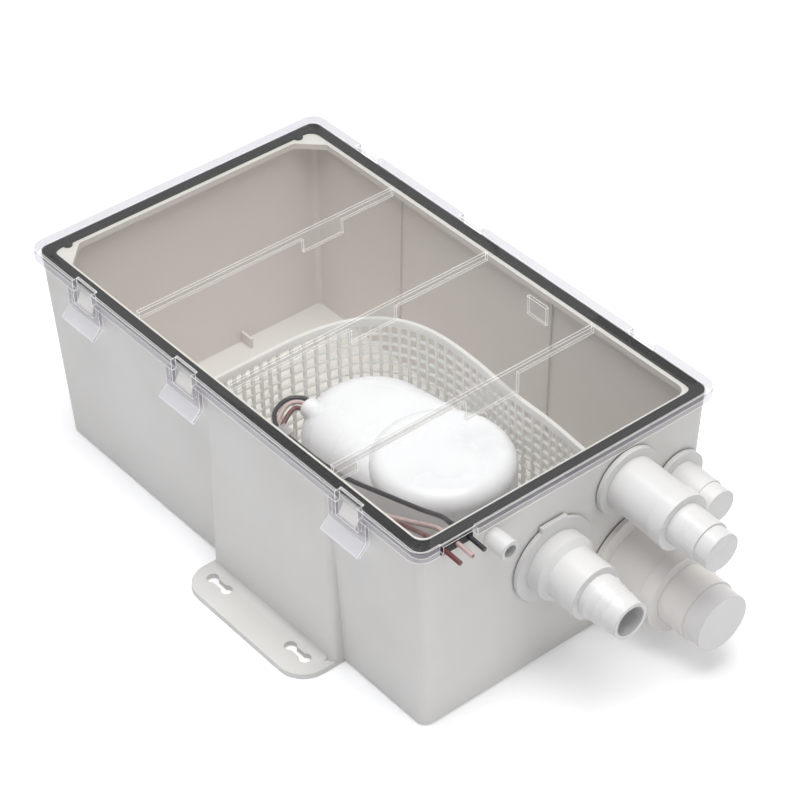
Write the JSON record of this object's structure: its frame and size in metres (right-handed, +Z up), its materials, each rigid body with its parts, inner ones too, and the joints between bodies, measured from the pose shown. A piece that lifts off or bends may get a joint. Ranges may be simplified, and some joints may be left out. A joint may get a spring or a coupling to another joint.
{
  "type": "shower sump pump",
  "caption": "Shower drain sump: drafted tub on two foot brackets, clear clip-on lid, curved mesh strainer, submersible float pump, check-valve outlet and capped hose inlets.",
  "frame": {"origin": "centre of the tub's base, on the plane that it stands on", "axes": "+X along the tub to the end wall with the fittings, +Z up"},
  "size_m": [0.3795, 0.2306, 0.1229],
  "materials": {
    "tub_plastic": "moulded grey-white, satin",
    "clear_plastic": "clear moulded",
    "black_rubber": "matt",
    "screen_plastic": "translucent white",
    "pump_plastic": "white, satin",
    "motor_steel": "drawn steel",
    "shaft_steel": "ground",
    "impeller_plastic": "moulded",
    "float_foam": "foam",
    "hose_rubber": "smooth",
    "clamp_steel": "stainless",
    "fitting_plastic": "white, satin",
    "large_inlet_plastic": "grey-white, satin",
    "seal_rubber": "matt",
    "brown_pvc": "wire insulation",
    "white_pvc": "wire insulation",
    "black_pvc": "wire insulation",
    "strap_plastic": "translucent"
  },
  "bodies": {
    "sump": {"tub": "tub_plastic", "gasket": "black_rubber", "screen": "screen_plastic", "strainer_base": "pump_plastic", "pump_body": "pump_plastic", "motor_cap": "pump_plastic", "motor_can": "motor_steel", "shaft_seal": "seal_rubber", "outlet_hose": "hose_rubber", "hose_clamps": "clamp_steel", "discharge_fitting": "fitting_plastic", "discharge_seal": "seal_rubber", "discharge_nut": "fitting_plastic", "inlet_a": "fitting_plastic", "inlet_b": "fitting_plastic", "inlet_c": "large_inlet_plastic", "inlet_a_seal": "seal_rubber", "inlet_b_seal": "seal_rubber", "inlet_c_seal": "seal_rubber", "vent_nipple": "fitting_plastic", "lead_brown": "brown_pvc", "lead_white": "white_pvc", "lead_black": "black_pvc", "lead_grommet": "black_rubber", "lead_strap": "strap_plastic"},
    "lid": {"lid": "clear_plastic"},
    "rotor": {"motor_shaft": "shaft_steel", "impeller": "impeller_plastic"},
    "float": {"pump_float": "float_foam"},
    "flap": {"check_flap": "black_rubber"},
    "latch_near_1": {"latch_near_1": "clear_plastic"},
    "latch_near_2": {"latch_near_2": "clear_plastic"},
    "latch_near_3": {"latch_near_3": "clear_plastic"},
    "latch_far_1": {"latch_far_1": "clear_plastic"},
    "latch_far_2": {"latch_far_2": "clear_plastic"},
    "latch_far_3": {"latch_far_3": "clear_plastic"}
  },
  "joints": [
    {"name": "lid_lift", "type": "slide", "parent": "sump", "child": "lid", "axis": [0, 0, 1], "range_m": [0, 0.14]},
    {"name": "rotor_spin", "type": "hinge", "parent": "sump", "child": "rotor", "pos_m": [0.073, -0.00885, 0.03], "axis": [0, 0, 1], "continuous": true},
    {"name": "float_rise", "type": "slide", "parent": "sump", "child": "float", "axis": [0, 0, 1], "range_m": [0, 0.012]},
    {"name": "flap_swing", "type": "hinge", "parent": "sump", "child": "flap", "pos_m": [0.16931, -0.00885, 0.07854], "axis": [0, -1, 0], "range_deg": [0, 50], "stiffness_Nm_per_rad": 0.001},
    {"name": "latch_near_1_flex", "type": "hinge", "parent": "lid", "child": "latch_near_1", "pos_m": [-0.10949, -0.0939, 0.11445], "axis": [-1, 0, 0], "range_deg": [0, 20], "stiffness_Nm_per_rad": 0.05},
    {"name": "latch_near_2_flex", "type": "hinge", "parent": "lid", "child": "latch_near_2", "pos_m": [-0.0234, -0.0939, 0.11445], "axis": [-1, 0, 0], "range_deg": [0, 20], "stiffness_Nm_per_rad": 0.05},
    {"name": "latch_near_3_flex", "type": "hinge", "parent": "lid", "child": "latch_near_3", "pos_m": [0.10639, -0.0939, 0.11445], "axis": [-1, 0, 0], "range_deg": [0, 20], "stiffness_Nm_per_rad": 0.05},
    {"name": "latch_far_1_flex", "type": "hinge", "parent": "lid", "child": "latch_far_1", "pos_m": [-0.10949, 0.0939, 0.11445], "axis": [1, 0, 0], "range_deg": [0, 20], "stiffness_Nm_per_rad": 0.05},
    {"name": "latch_far_2_flex", "type": "hinge", "parent": "lid", "child": "latch_far_2", "pos_m": [-0.0234, 0.0939, 0.11445], "axis": [1, 0, 0], "range_deg": [0, 20], "stiffness_Nm_per_rad": 0.05},
    {"name": "latch_far_3_flex", "type": "hinge", "parent": "lid", "child": "latch_far_3", "pos_m": [0.10639, 0.0939, 0.11445], "axis": [1, 0, 0], "range_deg": [0, 20], "stiffness_Nm_per_rad": 0.05}
  ]
}
